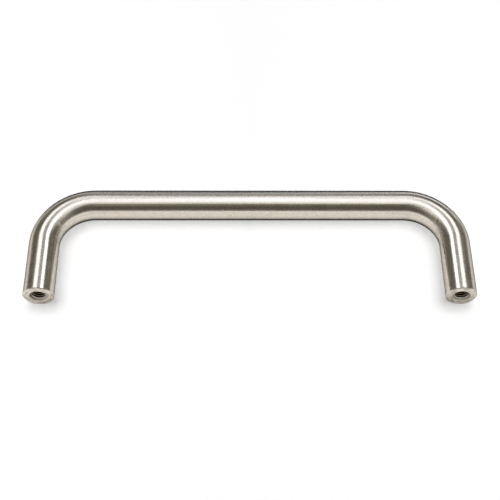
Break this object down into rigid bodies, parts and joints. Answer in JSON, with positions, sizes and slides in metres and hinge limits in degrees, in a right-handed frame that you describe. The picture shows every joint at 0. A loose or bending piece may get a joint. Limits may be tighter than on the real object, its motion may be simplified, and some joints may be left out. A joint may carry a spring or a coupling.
{
  "type": "bridge pull handle",
  "caption": "Bridge pull handle: a round rod bent square at both ends, with a tapped hole in the end of each leg for screws from behind.",
  "frame": {"origin": "on the mounting plane, midway between the centres of the tapped holes", "axes": "+X along the grip, -Y out of the tapped holes towards the door or drawer front, +Z square to the plane that the rod is bent in"},
  "size_m": [0.1374, 0.0385, 0.0094],
  "materials": {
    "handle": "satin, brushed round the rod"
  },
  "bodies": {
    "root": {"handle": "handle"}
  },
  "joints": []
}
